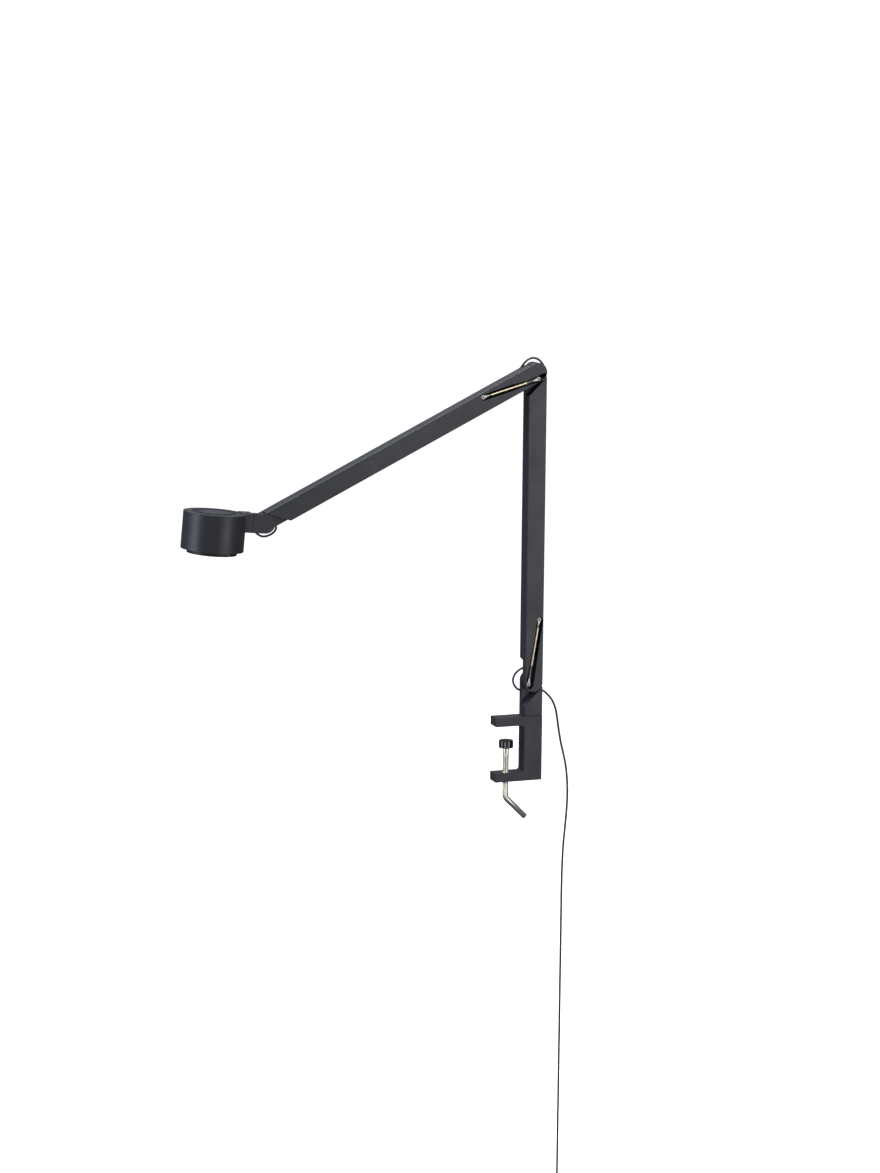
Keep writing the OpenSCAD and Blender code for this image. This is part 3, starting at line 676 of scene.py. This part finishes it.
def edge_tidy_group():
    """Joins the faces of a CAD mesh and marks its real corners sharp."""
    group = bpy.data.node_groups.new("joined_faces", "GeometryNodeTree")
    group.interface.new_socket("Geometry", in_out="INPUT", socket_type="NodeSocketGeometry")
    group.interface.new_socket("Geometry", in_out="OUTPUT", socket_type="NodeSocketGeometry")
    start = group.nodes.new("NodeGroupInput")
    end = group.nodes.new("NodeGroupOutput")
    drop = group.nodes.new("GeometryNodeRemoveAttribute")
    drop.inputs["Name"].default_value = "custom_normal"
    merge = group.nodes.new("GeometryNodeMergeByDistance")
    merge.inputs["Distance"].default_value = JOIN_DISTANCE
    faces = group.nodes.new("GeometryNodeSetShadeSmooth")
    faces.domain = "FACE"
    edges = group.nodes.new("GeometryNodeSetShadeSmooth")
    edges.domain = "EDGE"
    angle = group.nodes.new("GeometryNodeInputMeshEdgeAngle")
    below = group.nodes.new("FunctionNodeCompare")
    below.data_type = "FLOAT"
    below.operation = "LESS_THAN"
    below.inputs["B"].default_value = CORNER_ANGLE
    link = group.links.new
    link(start.outputs[0], drop.inputs["Geometry"])
    link(drop.outputs["Geometry"], merge.inputs["Geometry"])
    link(merge.outputs["Geometry"], faces.inputs["Geometry"])
    link(faces.outputs["Geometry"], edges.inputs["Geometry"])
    link(angle.outputs["Unsigned Angle"], below.inputs["A"])
    link(below.outputs["Result"], edges.inputs["Shade Smooth"])
    link(edges.outputs["Geometry"], end.inputs[0])
    return group


joined_faces = edge_tidy_group()
EDGE_ROUNDING = {
    "clamp_frame": 0.3 * MM,
    "base_block": 0.25 * MM,
    "lower_arm_shell": 0.25 * MM,
    "upper_arm_shell": 0.25 * MM,
    "lower_arm_cover": 0.2 * MM,
    "upper_arm_cover": 0.2 * MM,
    "head_bracket": 0.4 * MM,
    "head_housing": 0.35 * MM,
    "dimmer_ring": 0.2 * MM,
    "power_connector": 0.25 * MM,
    "thread_insert": 0.15 * MM,
}
ROUNDING_STEPS = 2

for name, obj in nodes.items():
    obj.data.materials.clear()
    obj.data.materials.append(materials[slot_of[name]])
    if name in EDGE_ROUNDING:
        tidy = obj.modifiers.new("joined_faces", "NODES")
        tidy.node_group = joined_faces
        bevel = obj.modifiers.new("edge_rounding", "BEVEL")
        bevel.width = EDGE_ROUNDING[name]
        bevel.segments = ROUNDING_STEPS
        bevel.limit_method = "ANGLE"
        bevel.angle_limit = CORNER_ANGLE
        bevel.harden_normals = True

# ---- stage and light -------------------------------------------------------------------

FLOOR_Z = -0.76
WALL_R = 14.0
SWEEP_R = 3.0
WALL_TOP = 14.0
WALL_SIDES = 64
SWEEP_STEPS = 14


def make_stage():
    """A pale round floor that curves up into a wall on every side."""
    outline = [(WALL_R - SWEEP_R, FLOOR_Z)]
    for k in range(1, SWEEP_STEPS + 1):
        a = math.pi / 2 * k / SWEEP_STEPS
        outline.append((
            WALL_R - SWEEP_R + SWEEP_R * math.sin(a), FLOOR_Z + SWEEP_R * (1 - math.cos(a)),
        ))
    outline.append((WALL_R, WALL_TOP))
    bm = bmesh.new()
    rows = []
    turns = [2 * math.pi * k / WALL_SIDES for k in range(WALL_SIDES)]
    for r, z in outline:
        rows.append([bm.verts.new((r * math.cos(a), r * math.sin(a), z)) for a in turns])
    bm.faces.new(rows[0])
    bridge(bm, rows)
    mesh = from_bmesh("studio_sweep", bm)
    obj = bpy.data.objects.new("studio_sweep", mesh)
    scene.collection.objects.link(obj)
    pale = Shader("studio_white", (0.82, 0.82, 0.82), 0.9)
    pale.bsdf.inputs["Emission Color"].default_value = (1, 1, 1, 1)
    pale.bsdf.inputs["Emission Strength"].default_value = 1.0
    mesh.materials.append(pale.material)
    obj.visible_glossy = False
    obj.visible_diffuse = False


LAMP_MIDDLE = Vector((-0.15, 0, 0.15))


def softbox(name, toward, distance, size, power, colour=(1, 1, 1)):
    """A rectangular light in a direction from the lamp's middle, facing it."""
    data = bpy.data.lights.new(name, "AREA")
    data.shape = "RECTANGLE"
    data.size, data.size_y = size
    data.energy = power
    data.color = colour
    obj = bpy.data.objects.new(name, data)
    ahead = Vector(toward).normalized()
    obj.location = LAMP_MIDDLE + ahead * distance
    obj.rotation_euler = ahead.to_track_quat("Z", "Y").to_euler()
    scene.collection.objects.link(obj)


make_stage()
softbox("front_right", toward=(0.50, -0.86, 0.12), distance=3.2, size=(1.7, 3.0), power=47)
softbox(
    "left_strip", toward=(-0.99, -0.05, 0.10), distance=2.6, size=(0.8, 2.4), power=34,
    colour=(0.86, 0.91, 1.0),
)
softbox("low_left", toward=(-0.45, -0.80, -0.38), distance=3.0, size=(1.6, 0.9), power=12)
softbox("overhead", toward=(-0.1, 0.15, 1.0), distance=2.6, size=(2.2, 2.0), power=135)

world = bpy.data.worlds.new("studio")
scene.world = world
world.use_nodes = True
backing = world.node_tree.nodes["Background"]
backing.inputs["Color"].default_value = (0.10, 0.105, 0.12, 1)
backing.inputs["Strength"].default_value = 1.0
scene.view_settings.view_transform = "Standard"
